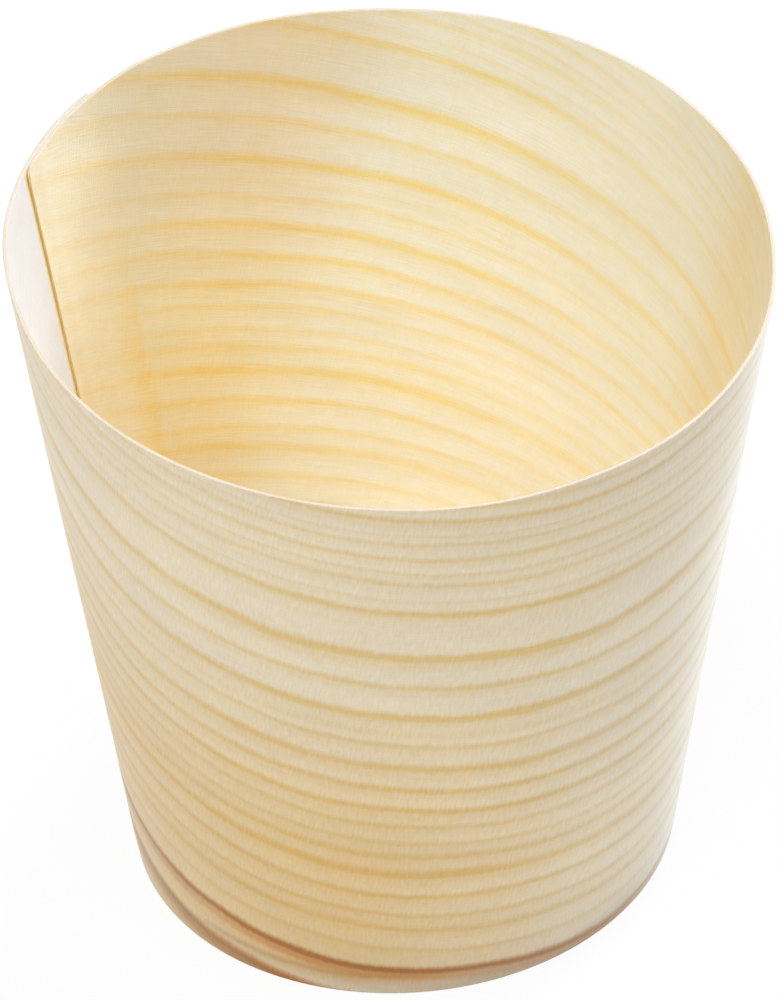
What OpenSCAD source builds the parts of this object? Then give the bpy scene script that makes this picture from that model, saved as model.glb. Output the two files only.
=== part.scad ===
// Disposable snack cup rolled from one sheet of pine veneer.
//
// The side wall is a flat, arc-shaped blank that is rolled once round into a cone and glued to
// itself along a lap. The glued lap shows as a step inside, where the sheet's inner end stops, and
// as another outside, where its outer end stops. A round pine disc glued in the foot is the base.
// The foot is held round by the disc, so the sheet's outer end climbs over its inner one there. The
// free rim has dried slightly oval, and up there the inner end has sunk inwards instead.
//
// The origin is the middle of the underside of the base, +Z points up to the rim, and the lap lies
// on the left, seen from -Y.

/* [Cup] */
// Height from the foot to the rim
cup_h = 55; // [40:1:80]
// Outside diameter of the round foot
foot_d = 42.5; // [34:0.5:52]
// Outside width of the rim along its long axis
rim_long = 63.2; // [52:0.2:78]
// Outside width of the rim across its long axis
rim_short = 55.8; // [50:0.2:70]
// Direction of the rim's long axis, anticlockwise from +X
rim_turn = 101; // [0:1:180]

/* [Veneer sheet] */
// Thickness of the veneer
veneer_t = 0.3; // [0.2:0.05:0.8]
// Direction of the seam, where the sheet's inner end stops, anticlockwise from +X
seam_turn = 159; // [0:1:359]
// Width of the glued lap, measured round the rim
lap_w = 11; // [5:0.5:16]
// Width over which the sheet climbs out of its round, or sinks into it, measured round the rim
climb_w = 6; // [3:0.5:10]

/* [Base] */
// Thickness of the disc in the foot
disc_t = 2; // [1.2:0.1:4]

/* [Glue] */
// Thickness of the glue line in the lap and round the disc
glue_t = 0.03; // [0.02:0.005:0.06]

/* [Hidden] */

$fn = 144;

// Facets along the whole sheet, and levels up the free part of the wall
sheet_steps = 150;
free_levels = 2;

foot_r = foot_d / 2;
rim_r = (rim_long + rim_short) / 4;
// How far the rim stands out on its long axis and in on its short one
rim_oval = (rim_long - rim_short) / 4;

// The wall leans outwards, so its level section is wider than the sheet is thick
lean = atan2(rim_r - foot_r, cup_h);
wall_w = veneer_t / cos(lean);
glue_w = glue_t / cos(lean);

// Widths along the rim as turns about the cup's axis
lap_turn = 360 * lap_w / (2 * PI * rim_r);
climb_turn = 360 * climb_w / (2 * PI * rim_r);
sheet_turn = 360 + lap_turn;

// The wall is held round as far up as the disc reaches, and is free above it
levels = concat([0], [for (k = [0:free_levels]) disc_t + (cup_h - disc_t) * k / free_levels]);

// 0 before the start, 1 after the end, and a smooth rise between them
function ease(x) = x <= 0 ? 0 : x >= 1 ? 1 : x * x * (3 - 2 * x);

// 0 as far up as the disc holds the wall, rising to 1 at the rim
function free(z) = max(0, z - disc_t) / (cup_h - disc_t);

// Outside radius of a single layer, in direction a and at height z
function outer_r(a, z) =
    foot_r + z * tan(lean) + rim_oval * free(z) * cos(2 * (a - rim_turn));

// Where the sheet laps itself after turning by t, its outer end climbs or its inner end sinks
function climb(t) = (wall_w + glue_w) * ease((t - 360 + climb_turn) / climb_turn);
function sink(t) = (wall_w + glue_w) * ease((lap_turn + climb_turn - t) / climb_turn);
function shift(t, z) = climb(t) * (1 - free(z)) - sink(t) * free(z);

// A point on the sheet after turning by t clockwise from the seam, on its inner or outer face
function sheet_point(t, z, inner) =
    let (a = seam_turn - t, r = outer_r(a, z) + shift(t, z) - (inner ? wall_w : 0))
    [r * cos(a), r * sin(a), z];

// The rolled veneer sheet: rows of four-sided cells wrap its section, from one level to the next
module side_wall() {
    turns = [for (k = [0:sheet_steps]) sheet_turn * k / sheet_steps];
    n = len(turns);
    // The section's corners run along the outer face and back along the inner one
    points = [
        for (z = levels) each concat(
            [for (t = turns) sheet_point(t, z, false)],
            [for (k = [n - 1:-1:0]) sheet_point(turns[k], z, true)]
        )
    ];
    row = 2 * n;
    top = row * (len(levels) - 1);
    sides = [
        for (j = [0:len(levels) - 2], i = [0:row - 1])
            let (a = j * row + i, b = j * row + (i + 1) % row)
            each [[a, b, b + row], [a, b + row, a + row]]
    ];
    // Strips across the sheet's thickness close its lower and upper edges
    foot_edge = [for (i = [0:n - 2]) [i, row - 1 - i, row - 2 - i, i + 1]];
    rim_edge = [for (i = [0:n - 2]) [top + i, top + i + 1, top + row - 2 - i, top + row - 1 - i]];
    color("#ecd6ab")
        polyhedron(points = points, faces = concat(sides, foot_edge, rim_edge), convexity = 4);
}

// The disc: its edge leans as the wall does, so that it is glued all the way up
module base_disc() {
    disc_r = foot_r - wall_w - glue_w;
    color("#e3c58f")
        cylinder(h = disc_t, r1 = disc_r, r2 = disc_r + disc_t * tan(lean));
}

side_wall();
base_disc();
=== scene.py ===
import bpy
import math
import numpy as np
from mathutils import Matrix, Vector


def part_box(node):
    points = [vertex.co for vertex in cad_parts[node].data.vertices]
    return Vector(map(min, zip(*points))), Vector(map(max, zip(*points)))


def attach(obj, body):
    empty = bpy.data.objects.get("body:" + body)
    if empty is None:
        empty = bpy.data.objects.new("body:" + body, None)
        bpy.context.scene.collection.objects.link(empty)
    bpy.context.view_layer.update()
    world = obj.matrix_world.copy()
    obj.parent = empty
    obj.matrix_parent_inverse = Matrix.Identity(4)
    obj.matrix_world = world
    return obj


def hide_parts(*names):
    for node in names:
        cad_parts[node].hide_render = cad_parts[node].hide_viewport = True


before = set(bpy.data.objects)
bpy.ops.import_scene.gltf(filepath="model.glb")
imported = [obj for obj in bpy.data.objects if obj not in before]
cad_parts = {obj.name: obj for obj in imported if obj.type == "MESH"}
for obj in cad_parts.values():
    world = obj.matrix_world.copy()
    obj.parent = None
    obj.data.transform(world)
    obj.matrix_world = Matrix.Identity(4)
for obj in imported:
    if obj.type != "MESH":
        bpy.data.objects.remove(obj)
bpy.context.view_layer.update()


# Side wall
# One sheet of pine veneer, sliced with a knife to 0.3 mm and left bare. The arc-shaped blank is
# rolled once round, climbs onto its own inner end and is glued there along a lap. Both ends of
# the sheet are cut across the grain, and the rim and the foot along it.

MM = 0.001
# The sizes of the part in mm and degrees
veneer_t = 0.3
glue_t = 0.03
foot_r = 21.25
rim_r = 29.75
rim_oval = 1.85
rim_turn = 101
seam_turn = 159
lap_w = 11
climb_w = 6
cup_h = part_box("side_wall")[1].z / MM
disc_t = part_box("base_disc")[1].z / MM

lean = math.atan2(rim_r - foot_r, cup_h)
wall_w = veneer_t / math.cos(lean)
glue_w = glue_t / math.cos(lean)
lap_turn = math.degrees(lap_w / rim_r)
climb_turn = math.degrees(climb_w / rim_r)
sheet_turn = 360 + lap_turn

# The flat blank is a sector of a ring: this is the radius of its foot edge
blank_foot_r = foot_r / math.sin(lean)

# How this cup has dried, in mm: a rim that is a little three-sided and drawn in across its long
# axis, an oval foot a little off its middle, a waist on the left, and a bulge at the stiff lap
rim_three_sided = 0.12
rim_drawn_in = 0.1
foot_oval = 0.36
foot_shift = (0.1, 0.08)
waist = 0.05
lap_bulge = 0.28

# The press thinned the sheet's ends by this share over this width, and the inner end has come
# unstuck and worn off at the top
end_thinning = 0.45
thinned_w = 2.5
corner_lift = 0.1
corner_wear = 0.25

# The middle of a rounded edge lies this share of its radius in from both faces
edge_round = 0.29


def ease(x):
    x = np.clip(x, 0, 1)
    return x * x * (3 - 2 * x)


def outer_r(direction, z):
    """Outside radius of a single layer, in a direction in degrees and at a height in mm."""
    free = np.clip((z - disc_t) / (cup_h - disc_t), 0, 1)
    a = np.radians(direction)
    oval = rim_oval * np.cos(2 * (a - math.radians(rim_turn)))
    oval -= (rim_drawn_in + 0.03 * np.cos(a)) * np.cos(a - math.radians(15)) ** 2
    three_sided = rim_three_sided * np.cos(3 * (a - math.radians(39.5)))
    waves = 0.03 * np.sin(7 * a + z / 9) + 0.02 * np.sin(11 * a - z / 6 + 2)
    rim_shape = oval + three_sided + waves
    foot_shape = foot_oval * np.cos(2 * (a - math.radians(40.7)))
    foot_shape += foot_shift[0] * np.cos(a) + foot_shift[1] * np.sin(a)
    on_left = (0.5 + 0.5 * np.cos(a - math.radians(190))) ** 2
    at_lap = np.exp(39 * (np.cos(a - math.radians(139)) - 1))
    shape = free * rim_shape + (1 - free) * foot_shape
    shape += lap_bulge * at_lap * free**2 - waist * np.sin(math.pi * free) * on_left
    return foot_r + z * math.tan(lean) + shape


def grain_at(turn, z, depth):
    """Place on the flat blank in mm: along the grain, across the growth rings, and depth."""
    middle = sheet_turn / 2
    a = np.radians(middle - turn) * math.sin(lean)
    r = blank_foot_r + z / math.cos(lean)
    along = r * np.sin(a)
    # The rings bow and tilt a little against the blank, and cross its thickness at a slant
    bow = 0.0004 * along**2 - 0.0078 * along
    across = 0.34 + 1.0038 * (r * np.cos(a) - blank_foot_r) + bow
    # On the left they close up a little above the heartwood, and in the middle they spread
    left = 0.031 * np.maximum(0, -29 - along) * (1 - across / 32) * ease((across - 1.5) / 3.5)
    spread = 0.03 * np.exp(-((along + 2) / 9) ** 2) * (across - 28)
    across = across - left - spread
    slant = np.clip(2.64 - 0.044 * across, 0.4, 2.3)
    return np.stack([along, across - slant * depth / veneer_t, depth], -1)


def sheet_mesh():
    """The rolled sheet: one closed loop round its thickness, repeated from end to end."""
    arris = 0.05
    levels = np.linspace(arris, cup_h - arris, 44)
    corner = [(edge_round * arris, edge_round * arris), (0, arris)]
    up = [(z, 0) for z in levels]
    over = [(cup_h - dz, d) for dz, d in corner] + [(cup_h, veneer_t / 2)]
    over += [(cup_h - dz, veneer_t - d) for dz, d in reversed(corner)]
    down = [(z, veneer_t) for z in reversed(levels)]
    under = [(dz, veneer_t - d) for dz, d in corner] + [(0, veneer_t / 2)]
    under += [(dz, d) for dz, d in reversed(corner)]
    loop = np.array(up + over + down + under)
    cut = np.array([0.0] * len(up) + [1.0] * len(over) + [0.0] * len(down) + [1.0] * len(under))

    # Turns in degrees; the first and last few draw in, to round the sheet's two ends
    arris_turn = math.degrees(arris / rim_r)
    start = np.array([0, edge_round, 1]) * arris_turn
    inset = np.array([1, edge_round, 0]) * arris
    body = np.linspace(arris_turn, sheet_turn - arris_turn, 480)[1:-1]
    turns = np.concatenate([start, body, sheet_turn - start[::-1]])
    insets = np.concatenate([inset, 0 * body, inset[::-1]])

    turn = turns[:, None] + 0 * loop[None, :, 0]
    draw = insets[:, None]
    z = draw + loop[None, :, 0] * (cup_h - 2 * draw) / cup_h
    depth = draw + loop[None, :, 1] * (veneer_t - 2 * draw) / veneer_t
    grain = grain_at(turn, z, depth)

    # The rim was trimmed by hand, and its corner at the sheet's inner end is a little worn
    direction = seam_turn - turn
    a = np.radians(direction)
    trim = 0.03 * (1 + np.sin(5 * a + 1)) + 0.02 * (1 + np.sin(13 * a))
    worn = corner_wear * ease(1 - turn / 0.9)
    z = z - (trim + worn) * ease((z - cup_h + 3) / 3)

    # At the foot the outer end climbs over the inner one; at the rim the inner end sinks inwards
    free = np.clip((z - disc_t) / (cup_h - disc_t), 0, 1)
    climb = ease((turn - 360 + climb_turn) / climb_turn)
    sink = ease((lap_turn + climb_turn - turn) / climb_turn)
    shift = (wall_w + glue_w) * (climb * (1 - free) - sink * free)
    # Both ends are thinner, and the inner one has come unstuck at the very top
    from_seam = np.radians(turn) * rim_r
    from_end = np.minimum(from_seam, np.radians(sheet_turn - turn) * rim_r)
    wall = wall_w * (1 - end_thinning * ease(1 - from_end / thinned_w))
    lift = corner_lift * ease(1 - from_seam / 1.5) * ease((z - cup_h + 1.2) / 1.2)
    r = outer_r(direction, z) + shift - lift - depth * wall / veneer_t
    points = np.stack([r * np.cos(a), r * np.sin(a), z], -1) * MM

    count, row = turn.shape
    i, j = np.meshgrid(np.arange(count - 1), np.arange(row), indexing="ij")
    k = (j + 1) % row
    skin = np.stack([i * row + j, i * row + k, (i + 1) * row + k, (i + 1) * row + j], -1)
    faces = skin.reshape(-1, 4).tolist()

    # End faces: a strip of four-sided faces from the foot to the rim, and one cap above and below
    n = len(levels)
    inner_top = n + len(over)
    strip = [(j, j + 1, inner_top + n - 2 - j, inner_top + n - 1 - j) for j in range(n - 1)]
    top_cap = tuple(range(n - 1, inner_top + 1))
    foot_cap = tuple(range(inner_top + n - 1, row)) + (0,)
    end = strip + [top_cap, foot_cap]
    last = (count - 1) * row
    inner_end = [tuple(reversed(face)) for face in end]
    outer_end = [tuple(last + v for v in face) for face in end]

    mesh = bpy.data.meshes.new("side_wall_veneer")
    mesh.from_pydata(points.reshape(-1, 3).tolist(), [], faces + inner_end + outer_end)
    mesh.attributes.new("grain", "FLOAT_VECTOR", "POINT").data.foreach_set(
        "vector", grain.reshape(-1).astype(np.float32)
    )
    mesh.attributes.new("from_seam", "FLOAT", "POINT").data.foreach_set(
        "value", from_seam.reshape(-1).astype(np.float32)
    )
    mesh.attributes.new("cut_edge", "FLOAT", "POINT").data.foreach_set(
        "value", np.tile(cut, count).astype(np.float32)
    )
    # The end faces and the rounding beside them show end grain
    ends = np.zeros(len(mesh.polygons), np.int32)
    ends[len(faces):] = 1
    ends[: row] = 1
    ends[len(faces) - row: len(faces)] = 1
    mesh.polygons.foreach_set("material_index", ends)
    mesh.shade_smooth()
    mesh.set_sharp_from_angle(angle=math.radians(15))
    mesh.validate()
    return mesh


def hex_colour(code):
    """An sRGB hex colour as the linear values that a shader takes."""
    parts = [int(code[i:i + 2], 16) / 255 for i in (1, 3, 5)]
    linear = [c / 12.92 if c <= 0.04045 else ((c + 0.055) / 1.055) ** 2.4 for c in parts]
    return (*linear, 1)


def add_node(tree, kind, inputs=None, **settings):
    """Adds a node with its settings, and fills or links its inputs."""
    made = tree.nodes.new("ShaderNode" + kind)
    for name, value in settings.items():
        setattr(made, name, value)
    for socket, value in (inputs or {}).items():
        if isinstance(value, bpy.types.NodeSocket):
            tree.links.new(value, made.inputs[socket])
        else:
            made.inputs[socket].default_value = value
    return made


# Growth rings that the sheet crosses: height above the foot at the middle of the blank,
# how dark the latewood is, and how wide, in mm
veneer_rings = [
    (-16.0, 0.5, 0.8), (-14.1, 0.6, 0.75), (-12.0, 0.5, 0.8), (-10.1, 0.7, 0.8), (-8.2, 0.4, 0.7),
    (-6.3, 0.6, 0.8), (4.4, 0.6, 0.6), (6.85, 0.85, 0.65), (8.65, 0.7, 0.6), (11.1, 0.85, 0.7),
    (13.7, 1.05, 0.8), (15.8, 0.75, 0.7), (17.4, 0.55, 0.6), (19.35, 0.65, 0.65), (21.3, 0.95, 0.75),
    (23.7, 0.9, 0.75), (26.25, 0.95, 0.9), (28.8, 0.7, 0.7), (29.95, 0.35, 0.45), (32.0, 1.1, 0.9),
    (35.45, 0.8, 0.7), (38.7, 1.15, 0.95), (41.9, 0.15, 0.5), (43.65, 0.9, 0.85), (45.0, 0.35, 0.4),
    (46.8, 0.6, 0.6), (47.9, 0.5, 0.4), (49.4, 0.7, 0.55), (51.0, 0.55, 0.55), (51.9, 0.3, 0.3),
    (53.45, 0.85, 0.6), (54.9, 0.6, 0.35), (56.0, 0.4, 0.5), (57.3, 0.5, 0.7),
]
# The heartwood edge: two rings stained brown with resin and the orange glow round them. A faint
# line leaves the upper ring downwards to the left, passing the foot's level at its start, and
# the wood below that line is pale again. The lower ring has a darker line, just below its middle
heart_rings = [(-2.4, 0.95, 1.2), (1.8, 1.15, 0.84)]
lowest_ring = [(-3.1, 1.0, 1.2)]
heart_glow = [(-3.3, 0.8, 0.9), (-2.2, 0.6, 0.9), (1.0, 0.85, 1.1)]
side_line = [(0.0, 1.0, 0.7)]
side_line_slope = 0.148
side_line_start = -30
# How each tint and each kind of ring comes and goes: places along the blank in mm, and amounts
ring_strength = [(-90, 0.6), (-48, 0.75), (-33, 1.0), (-18, 1.05), (-7, 0.9), (3, 0.6), (40, 0.6),
                 (50, 0.9), (62, 0.95), (72, 0.8), (82, 0.5), (92, 0.45)]
heart_warmth = [(-90, 0.7), (-66, 0.75), (-50, 0.6), (-28, 0.9), (-18, 0.5), (-6, 0.1), (5, 0.05),
                (50, 0.05), (68, 0.45), (80, 0.38)]
# More golden inside; on the right this is painted shade
golden_tone_and_shade_inside = [(0, 1.0), (22, 1.0), (31, 0), (57, 0), (69, 0.8), (80, 0.7), (92, 0.2)]
# Painted shade at the back of the inner face, near the rim
painted_shade_inside = [(56, 0), (66, 0.8), (72, 1), (80, 0.6), (88, 0)]
# Painted sheen on the outer face, on the cup's right
painted_sheen_outside = [(-20, 0), (-8, 0.3), (-2, 0.5), (5, 1), (30, 1), (60, 0)]
glow_strength = [(-62, 0.2), (-46, 0.3), (-40, 0.45), (-30, 0.9), (-22, 0.75), (-14, 0.35), (10, 0.15)]
line_strength = [(-62, 0.35), (-46, 0.6), (-40, 0.82), (-31, 1.0), (-24, 1.0), (-17, 0.8), (8, 0.3)]
line_darkness = [(-62, 0.2), (-46, 0.12), (-38, 0.0)]
lowest_darkness = [(-56, 0), (-46, 0.25), (-38, 0.4), (-32, 0.4), (-24, 0.3), (-18, 0)]
side_line_strength = [(-41, 0), (-36, 0.4), (-27, 0.5), (-21, 0.35), (-17, 0)]
pale_foot = [(-38, 0), (-30, 0.5), (-24, 0.8), (-6, 0.8), (4, 0)]


def ramp_along(tree, place, stops):
    """A smooth curve through stops of place and amount, both in order."""
    low, high = stops[0][0], stops[-1][0]
    share = add_node(tree, "MapRange", {0: place, 1: low, 2: high})
    ramp = add_node(tree, "ValToRGB", {0: share.outputs[0]})
    ramp.color_ramp.interpolation = "EASE"
    elements = ramp.color_ramp.elements
    while len(elements) < len(stops):
        elements.new(0.5)
    # Colours above 1 are kept by a ramp, so an amount may pass 1
    for element, (at, amount) in zip(elements, stops):
        element.position = (at - low) / (high - low)
        element.color = (amount, amount, amount, 1)
    return ramp.outputs[0]


def ring_amount(tree, across, rings):
    """How much latewood there is: each ring darkens slowly and ends a little more sharply."""
    # A ramp has room for 32 stops, so each one takes seven rings
    rings_a_ramp = 7
    total = None
    for first in range(0, len(rings), rings_a_ramp):
        group = rings[first:first + rings_a_ramp]
        stops = [(group[0][0] - 2 * group[0][2] - 0.5, 0)]
        for height, dark, width in group:
            start = height - 2 * width
            if start < stops[-1][0]:
                # The ring before it ends where this one begins, part way up both
                middle = (stops[-2][0] + height) / 2
                stops[-1] = (middle, 0.2 * dark)
            else:
                stops.append((start, 0.03 * dark))
            stops += [(height - 0.7 * width, 0.35 * dark), (height, dark), (height + width, 0)]
        amount = ramp_along(tree, across, stops)
        if total is not None:
            amount = add_node(tree, "Math", {0: total, 1: amount}, operation="ADD").outputs[0]
        total = amount
    return total


def pine(name, rings, browns, outside, inside, heart_tint=None):
    """Bare knife-cut pine. Pale earlywood between golden latewood bands, with fine fibres along
    the grain and short knife marks across it; matt, with a soft bloom at a low angle. Outside and
    inside are the early and late colours of the sheet's two faces."""
    material = bpy.data.materials.new(name)
    material.use_nodes = True
    tree = material.node_tree
    tree.nodes.clear()
    grain = add_node(tree, "Attribute", attribute_name="grain")
    place = add_node(tree, "SeparateXYZ", {0: grain.outputs["Vector"]})
    along, across, depth = place.outputs

    def wood_noise(length, width, detail=2.0, rough=0.5, seed=0.0):
        """Noise stretched along the grain: a feature's length and width in mm."""
        u = add_node(tree, "Math", {0: along, 1: 1 / length}, operation="MULTIPLY")
        v = add_node(tree, "Math", {0: across, 1: 1 / width}, operation="MULTIPLY")
        w = add_node(tree, "Math", {0: depth, 1: 1.0, 2: seed}, operation="MULTIPLY_ADD")
        at = add_node(tree, "CombineXYZ", {0: u.outputs[0], 1: v.outputs[0], 2: w.outputs[0]})
        found = add_node(
            tree, "TexNoise",
            {"Vector": at.outputs[0], "Scale": 1.0, "Detail": detail, "Roughness": rough},
        )
        return found.outputs["Fac"]

    def spread(value, low, high):
        """The noise's middle range mapped to low..high."""
        return add_node(tree, "MapRange", {0: value, 1: 0.3, 2: 0.7, 3: low, 4: high}).outputs[0]

    def mix(share, first, second, **settings):
        return add_node(
            tree, "Mix", {0: share, 6: first, 7: second}, data_type="RGBA", **settings
        ).outputs[2]

    # Rings wander by a few tenths of a millimetre along their length
    wander = spread(wood_noise(11, 7, 2.0), -0.2, 0.2)
    shiver = spread(wood_noise(0.45, 2.0, 2.0, seed=7), -0.07, 0.07)
    shifted = add_node(tree, "Math", {0: across, 1: wander}, operation="ADD").outputs[0]
    shifted = add_node(tree, "Math", {0: shifted, 1: shiver}, operation="ADD").outputs[0]

    # Each band comes and goes a little along its length
    latewood = ring_amount(tree, shifted, rings)
    fade = spread(wood_noise(7, 1.6, 2.0, seed=3), 0.85, 1.15)
    latewood = add_node(tree, "Math", {0: latewood, 1: fade}, operation="MULTIPLY").outputs[0]
    if heart_tint:
        plain = ramp_along(tree, along, ring_strength)
        latewood = add_node(tree, "Math", {0: latewood, 1: plain}, operation="MULTIPLY").outputs[0]

    # The two faces of the sheet have their own colours, which change over between these depths
    change_from, change_to = 0.08, 0.22
    inner_face = add_node(tree, "MapRange", {0: depth, 1: change_from, 2: change_to}).outputs[0]
    early = hex_colour(outside[0])
    late = hex_colour(outside[1])
    if heart_tint:
        # Painted sheen: outside, the middle of the blank, on the cup's right, is painted paler and
        # greyer, as the wash of light from behind on the right
        grey = ramp_along(tree, along, painted_sheen_outside)
        early = mix(grey, early, hex_colour("#EEEAE3"))
        late = mix(grey, late, hex_colour("#DAD0BF"))
    early = mix(inner_face, early, hex_colour(inside[0]))
    late = mix(inner_face, late, hex_colour(inside[1]))
    mixed = mix(latewood, early, late, clamp_factor=True)

    if heart_tint:
        # The wood grows warmer towards the heartwood, least so in the middle of the blank, and
        # on the outer face it starts to do so a little higher up
        away = add_node(
            tree, "Math", {0: inner_face, 1: 5.5, 2: shifted}, operation="MULTIPLY_ADD"
        )
        near = add_node(
            tree, "MapRange", {0: away.outputs[0], 1: 36.0, 2: 12.0},
            interpolation_type="SMOOTHSTEP",
        )
        side = ramp_along(tree, along, heart_warmth)
        warm = add_node(tree, "Math", {0: near.outputs[0], 1: side}, operation="MULTIPLY")
        mixed = mix(warm.outputs[0], mixed, hex_colour(heart_tint), blend_type="MULTIPLY")
        # Two stretches of the inner face are a little more golden. The one on the right is painted shade
        # on the inside of the right wall, which faces away from the lamps on the right; the other lies
        # at the back on the left
        golden = ramp_along(tree, along, golden_tone_and_shade_inside)
        golden = add_node(tree, "Math", {0: golden, 1: inner_face}, operation="MULTIPLY")
        mixed = mix(golden.outputs[0], mixed, hex_colour("#FFF3D8"), blend_type="MULTIPLY")
        # Painted shade: the back of the inner face is painted a little darker near the rim, where less
        # light reaches it
        shade = ramp_along(tree, along, painted_shade_inside)
        shade = add_node(tree, "Math", {0: shade, 1: inner_face}, operation="MULTIPLY")
        high = add_node(tree, "MapRange", {0: across, 1: 20.0, 2: 29.0})
        shade = add_node(tree, "Math", {0: shade.outputs[0], 1: high.outputs[0]}, operation="MULTIPLY")
        mixed = mix(shade.outputs[0], mixed, hex_colour("#F6F1F5"), blend_type="MULTIPLY")

        # Below the side line the wood is pale again
        level = add_node(
            tree, "Math", {0: along, 1: -side_line_slope, 2: side_line_start * side_line_slope},
            operation="MULTIPLY_ADD",
        )
        from_side_line = add_node(tree, "Math", {0: shifted, 1: level.outputs[0]}, operation="ADD")
        below = add_node(
            tree, "MapRange", {0: from_side_line.outputs[0], 1: -0.2, 2: -1.1},
            interpolation_type="SMOOTHSTEP",
        )
        foot = ramp_along(tree, along, pale_foot)
        foot = add_node(tree, "Math", {0: foot, 1: below.outputs[0]}, operation="MULTIPLY")
        mixed = mix(foot.outputs[0], mixed, hex_colour("#DDD3C2"))
        stain = ring_amount(tree, from_side_line.outputs[0], side_line)
        run = ramp_along(tree, along, side_line_strength)
        stain = add_node(tree, "Math", {0: stain, 1: run}, operation="MULTIPLY").outputs[0]
        mixed = mix(stain, mixed, hex_colour("#8C7346"), clamp_factor=True)

        # Inside, the glued lap is a little paler and rosier
        from_seam = add_node(tree, "Attribute", attribute_name="from_seam").outputs["Fac"]
        lap = ramp_along(
            tree, from_seam, [(-0.5, 0.22), (lap_w / 2, 0.2), (lap_w - 1.5, 0.16), (lap_w + 1.5, 0)]
        )
        lap = add_node(tree, "Math", {0: lap, 1: inner_face}, operation="MULTIPLY").outputs[0]
        mixed = mix(lap, mixed, hex_colour("#FFECD2"))

        # Glue soaked through where the sheet's outer end lies behind the inner layer
        ragged = spread(wood_noise(0.8, 3.0, 2.0, seed=17), -0.4, 0.4)
        glue = add_node(tree, "Math", {0: from_seam, 1: ragged}, operation="ADD").outputs[0]
        glue = ramp_along(tree, glue, [(lap_w - 4, 0), (lap_w - 0.5, 0.62), (lap_w + 0.9, 0)])
        glue = add_node(tree, "Math", {0: glue, 1: inner_face}, operation="MULTIPLY").outputs[0]
        glue_near = add_node(tree, "MapRange", {0: across, 1: 29.0, 2: 16.0})
        glue = add_node(tree, "Math", {0: glue, 1: glue_near.outputs[0]}, operation="MULTIPLY")
        mixed = mix(glue.outputs[0], mixed, hex_colour("#FBEEBE"), blend_type="MULTIPLY")

        # Painted highlight: the inner face near the sheet's outer end, left of the seam, is painted pale
        # and cool, as the sheen of the light from the right
        end = add_node(tree, "MapRange", {0: along, 1: -60.0, 2: -70.0}, interpolation_type="SMOOTHSTEP")
        pale = add_node(tree, "Math", {0: end.outputs[0], 1: inner_face}, operation="MULTIPLY")
        mixed = mix(pale.outputs[0], mixed, hex_colour("#DADCE6"))

        # A little glue has squeezed out along the seam
        turn_round = 2 * math.pi * rim_r
        squeezed = ramp_along(
            tree, from_seam,
            [(turn_round - 0.7, 0), (turn_round - 0.25, 0.9), (turn_round + 0.2, 0.9),
             (turn_round + 0.5, 0)],
        )
        squeezed = add_node(tree, "Math", {0: squeezed, 1: inner_face}, operation="MULTIPLY")
        mixed = mix(squeezed.outputs[0], mixed, hex_colour("#EFD69C"))

        # The rim and the foot are cut along the grain; their cut faces are painted darker and greyer, as
        # painted shade that tones down the strong light on the rim's top face
        cut_edge = add_node(tree, "Attribute", attribute_name="cut_edge").outputs["Fac"]
        cut_edge_shade = add_node(tree, "Math", {0: cut_edge, 1: 0.85}, operation="MULTIPLY").outputs[0]
        mixed = mix(cut_edge_shade, mixed, hex_colour("#A0978D"))

    for stained, strength, colour in browns:
        stain = ring_amount(tree, shifted, stained)
        run = ramp_along(tree, along, strength)
        stain = add_node(tree, "Math", {0: stain, 1: run}, operation="MULTIPLY").outputs[0]
        mixed = mix(stain, mixed, hex_colour(colour), clamp_factor=True)

    # Cloudy tone, small blotches that lean to pink or yellow, fibres 0.15 mm wide along the
    # grain, and knife marks 0.17 mm wide across it, which the inner face shows least
    blotch = spread(wood_noise(1.3, 0.9, 2.0, 0.5, seed=13), 0, 1)
    mixed = mix(blotch, mixed, hex_colour("#FFFCF2"), blend_type="MULTIPLY")
    cloud = spread(wood_noise(14, 5, 2.0, seed=11), 0.965, 1.03)
    fibre = spread(wood_noise(2.6, 0.15, 3.0, 0.6, seed=5), 0.97, 1.03)
    marks = add_node(
        tree, "MapRange", {0: depth, 1: change_from, 2: change_to, 3: 0.05, 4: 0.015}
    ).outputs[0]
    knife = spread(wood_noise(0.17, 1.1, 2.0, 0.5, seed=9), -1, 1)
    knife = add_node(tree, "Math", {0: knife, 1: marks, 2: 1.0}, operation="MULTIPLY_ADD").outputs[0]
    tone = add_node(tree, "Math", {0: cloud, 1: fibre}, operation="MULTIPLY").outputs[0]
    tone = add_node(tree, "Math", {0: tone, 1: knife}, operation="MULTIPLY").outputs[0]
    colour = add_node(tree, "VectorMath", {0: mixed, 3: tone}, operation="SCALE").outputs[0]

    # The knife lifts fibres
    height = add_node(tree, "Math", {0: fibre, 1: knife}, operation="ADD").outputs[0]
    bump = add_node(tree, "Bump", {"Strength": 0.5, "Distance": 0.25 * MM, "Height": height})
    shader = add_node(
        tree, "BsdfPrincipled",
        {
            "Base Color": colour, "Roughness": 0.62, "IOR": 1.5, "Normal": bump.outputs[0],
            "Sheen Weight": 0.16, "Sheen Roughness": 0.45,
        },
    )
    add_node(tree, "OutputMaterial", {0: shader.outputs[0]})
    return material


brown_rings = [
    (heart_glow, glow_strength, "#DD9A45"),
    (heart_rings, line_strength, "#B06A00"),
    (heart_rings, line_darkness, "#7A5A18"),
    (lowest_ring, lowest_darkness, "#84581C"),
]
pine_veneer = pine(
    "pine_veneer_knife_cut", veneer_rings, brown_rings,
    outside=("#EADCC3", "#E1C281"), inside=("#DBDACD", "#DDCB8E"), heart_tint="#F9E7BF",
)
# Cut across, the fibres drink in light and glue, most of all near the face that shows
pine_end_grain = pine(
    "pine_veneer_end_grain", veneer_rings, brown_rings,
    outside=("#EAD9A4", "#E0C282"), inside=("#D3B26E", "#C8A560"),
)

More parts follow.
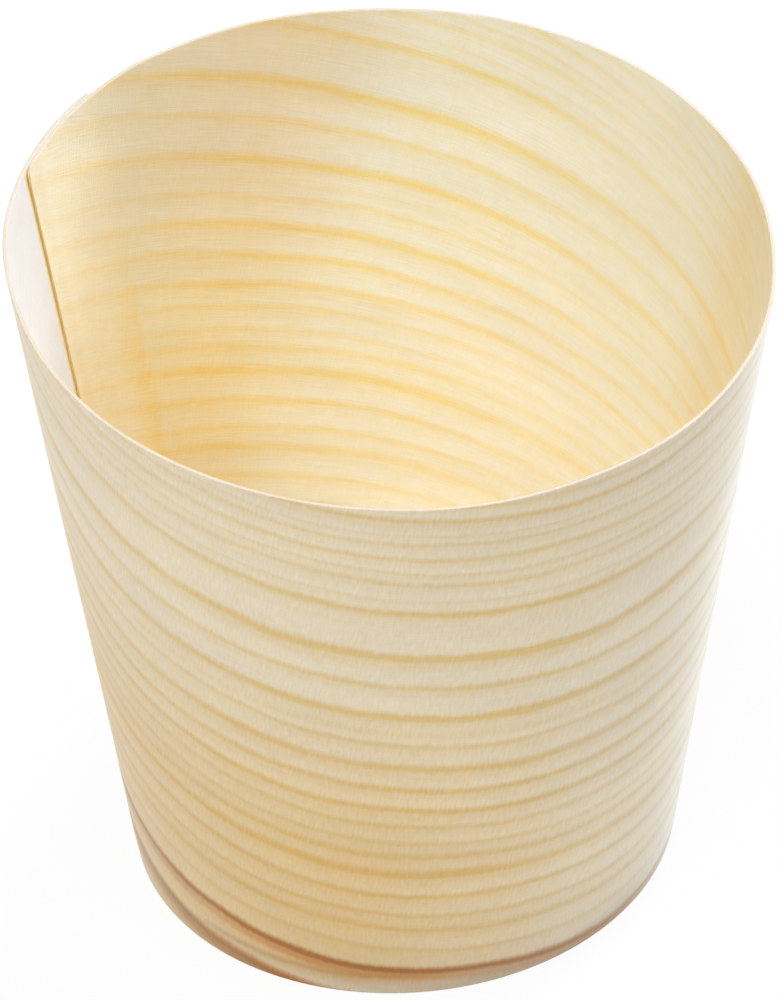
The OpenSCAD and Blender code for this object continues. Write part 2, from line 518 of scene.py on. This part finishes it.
side_wall = bpy.data.objects.new("side_wall_veneer", sheet_mesh())
bpy.context.scene.collection.objects.link(side_wall)
side_wall.data.materials.append(pine_veneer)
side_wall.data.materials.append(pine_end_grain)
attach(side_wall, "root")
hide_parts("side_wall")


# Base disc
# A round of sawn pine, 2 mm thick, pressed into the foot and glued to the wall all round. Its
# edge leans as the wall does, and its grain runs straight across with gently curved rings.

disc_top_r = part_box("base_disc")[1].x / MM
disc_foot_r = disc_top_r - disc_t * math.tan(lean)
disc_grain_turn = 46


def disc_mesh():
    """A turned profile: underside, rounded lower edge, leaning side, rounded upper edge, top."""
    arris = 0.12
    middle_r = 0.5
    # Its underside stands a hair above the wall's lower edge
    low = 0.05
    profile = [(r, low) for r in np.linspace(middle_r, disc_foot_r - arris, 12)]
    inset = edge_round * arris
    profile += [(disc_foot_r - inset, low + inset), (disc_foot_r, low + arris)]
    profile += [(disc_top_r, disc_t - arris), (disc_top_r - inset, disc_t - inset)]
    profile += [(r, disc_t) for r in np.linspace(disc_top_r - arris, middle_r, 12)]
    profile = np.array(profile)
    sides = 180
    a = np.linspace(0, 2 * math.pi, sides, endpoint=False)[:, None]
    # It fills the foot, and so it is as slightly oval as the wall round it
    oval = outer_r(np.degrees(a), 0) - foot_r
    r = profile[None, :, 0] * (1 + oval / disc_foot_r)
    z = profile[None, :, 1] + 0 * a
    points = np.stack([r * np.cos(a), r * np.sin(a), z], -1)
    row = len(profile)
    faces = []
    for i in range(sides):
        n = (i + 1) % sides
        faces += [(i * row + j, n * row + j, n * row + j + 1, i * row + j + 1) for j in range(row - 1)]
    under = [i * row for i in reversed(range(sides))]
    over = [i * row + row - 1 for i in range(sides)]
    faces = [tuple(reversed(face)) for face in faces] + [tuple(under), tuple(over)]

    turn = math.radians(disc_grain_turn)
    along = points[..., 0] * math.cos(turn) + points[..., 1] * math.sin(turn)
    side = points[..., 1] * math.cos(turn) - points[..., 0] * math.sin(turn)
    # Rings as the saw meets them: arcs round a heart 120 mm to the side and below
    heart = 120
    bow = 0.35
    tilt = 0.8
    across = np.hypot(heart + side, bow * along) - heart + tilt * points[..., 2]
    grain = np.stack([along, across, points[..., 2]], -1)

    mesh = bpy.data.meshes.new("base_disc_pine")
    mesh.from_pydata((points * MM).reshape(-1, 3).tolist(), [], faces)
    mesh.attributes.new("grain", "FLOAT_VECTOR", "POINT").data.foreach_set(
        "vector", grain.reshape(-1).astype(np.float32)
    )
    mesh.shade_smooth()
    mesh.set_sharp_from_angle(angle=math.radians(15))
    mesh.validate()
    return mesh


# Rings about 2.3 mm apart, a little uneven in their place and darkness
disc_rings = [
    (-21 + 2.3 * n + 0.6 * math.sin(2.1 * n), 0.55 + 0.3 * math.sin(3.7 * n), 1.1)
    for n in range(19)
]
# Painted shade: the disc's colours are set darker than the wall's, so that its top, open to the lamps
# inside the cup, does not turn white
pine_disc = pine(
    "pine_disc_sawn", disc_rings, [],
    outside=("#CDB890", "#BF9A60"), inside=("#CDB890", "#BF9A60"),
)

base_disc = bpy.data.objects.new("base_disc_pine", disc_mesh())
bpy.context.scene.collection.objects.link(base_disc)
base_disc.data.materials.append(pine_disc)
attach(base_disc, "root")
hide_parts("base_disc")


# Floor and surroundings
# A plain white sweep, a hair below the cup, so that no two faces coincide. The camera sees it as
# white, and the cup's soft shadow still falls on it.

floor_mesh = bpy.data.meshes.new("floor")
reach = 6.0
floor_z = -0.02 * MM
floor_corners = [(x, y, floor_z) for x, y in ((-1, -1), (1, -1), (1, 1), (-1, 1))]
floor_corners = [(reach * x, reach * y, z) for x, y, z in floor_corners]
floor_mesh.from_pydata(floor_corners, [], [(0, 1, 2, 3)])
floor = bpy.data.objects.new("floor", floor_mesh)
bpy.context.scene.collection.objects.link(floor)
white_card = bpy.data.materials.new("white_card_sweep")
white_card.use_nodes = True
tree = white_card.node_tree
tree.nodes.clear()
ray = add_node(tree, "LightPath")
seen = add_node(
    tree, "Math", {0: ray.outputs["Is Camera Ray"], 1: ray.outputs["Is Glossy Ray"]},
    operation="MAXIMUM",
)
share = add_node(tree, "Math", {0: seen.outputs[0], 1: 0.92}, operation="MULTIPLY")
card = add_node(tree, "BsdfDiffuse", {"Color": hex_colour("#C8C8C6")})
glow = add_node(tree, "Emission", {"Color": (1, 1, 1, 1), "Strength": 1.0})
both = add_node(tree, "MixShader", {0: share.outputs[0], 1: card.outputs[0], 2: glow.outputs[0]})
add_node(tree, "OutputMaterial", {0: both.outputs[0]})
floor.data.materials.append(white_card)

world = bpy.data.worlds.new("studio")
bpy.context.scene.world = world
world.use_nodes = True
tree = world.node_tree
tree.nodes.clear()
ray = add_node(tree, "LightPath")
level = add_node(tree, "MapRange", {0: ray.outputs["Is Camera Ray"], 3: 0.15, 4: 1.0})
studio = add_node(tree, "Background", {"Color": (1, 1, 1, 1), "Strength": level.outputs[0]})
add_node(tree, "OutputWorld", {0: studio.outputs[0]})


# Lamps
# The key is a wide soft box high on the left, in front. A low and slightly cooler one behind on
# the right washes the right edge and the inside of the left wall, and a third one fills from the
# right.


cup_middle = Vector((0, 0, 0.03))
lamp_distance = 0.8


def soft_box(name, azimuth, elevation, size, watts, colour="#FFFFFF"):
    """A square lamp turned to the cup, at an angle anticlockwise from +X and one above the floor."""
    lamp = bpy.data.lights.new(name, "AREA")
    lamp.size = size
    lamp.energy = watts
    lamp.color = hex_colour(colour)[:3]
    box = bpy.data.objects.new(name, lamp)
    bpy.context.scene.collection.objects.link(box)
    a, e = math.radians(azimuth), math.radians(elevation)
    away = Vector((math.cos(a) * math.cos(e), math.sin(a) * math.cos(e), math.sin(e)))
    box.location = cup_middle + lamp_distance * away
    box.rotation_euler = away.to_track_quat("Z", "Y").to_euler()


soft_box("key_soft_box", -120, 70, 0.45, 9.4)
soft_box("back_right_soft_box", 52, 30, 0.35, 5.1, "#F5FAFF")
soft_box("right_soft_box", 25, 58, 0.4, 3.5)


# Camera
# It looks down at 38 degrees from 0.4 m, with a long lens and a slight roll, as the photo does.

camera_data = bpy.data.cameras.new("camera")
camera_data.sensor_fit = "VERTICAL"
camera_data.sensor_height = 36
camera_data.lens = 180
camera_data.clip_start = 0.01
camera = bpy.data.objects.new("camera", camera_data)
bpy.context.scene.collection.objects.link(camera)
camera.location = (0, -0.29641, 0.26437)
turned_left = 0.082
looks_down = 38.205
rolled = -1.58
camera.rotation_euler = (
    Matrix.Rotation(math.radians(turned_left), 3, "Z")
    @ Matrix.Rotation(math.radians(90 - looks_down), 3, "X")
    @ Matrix.Rotation(math.radians(rolled), 3, "Z")
).to_euler()
bpy.context.scene.camera = camera
bpy.context.scene.view_settings.view_transform = "Standard"
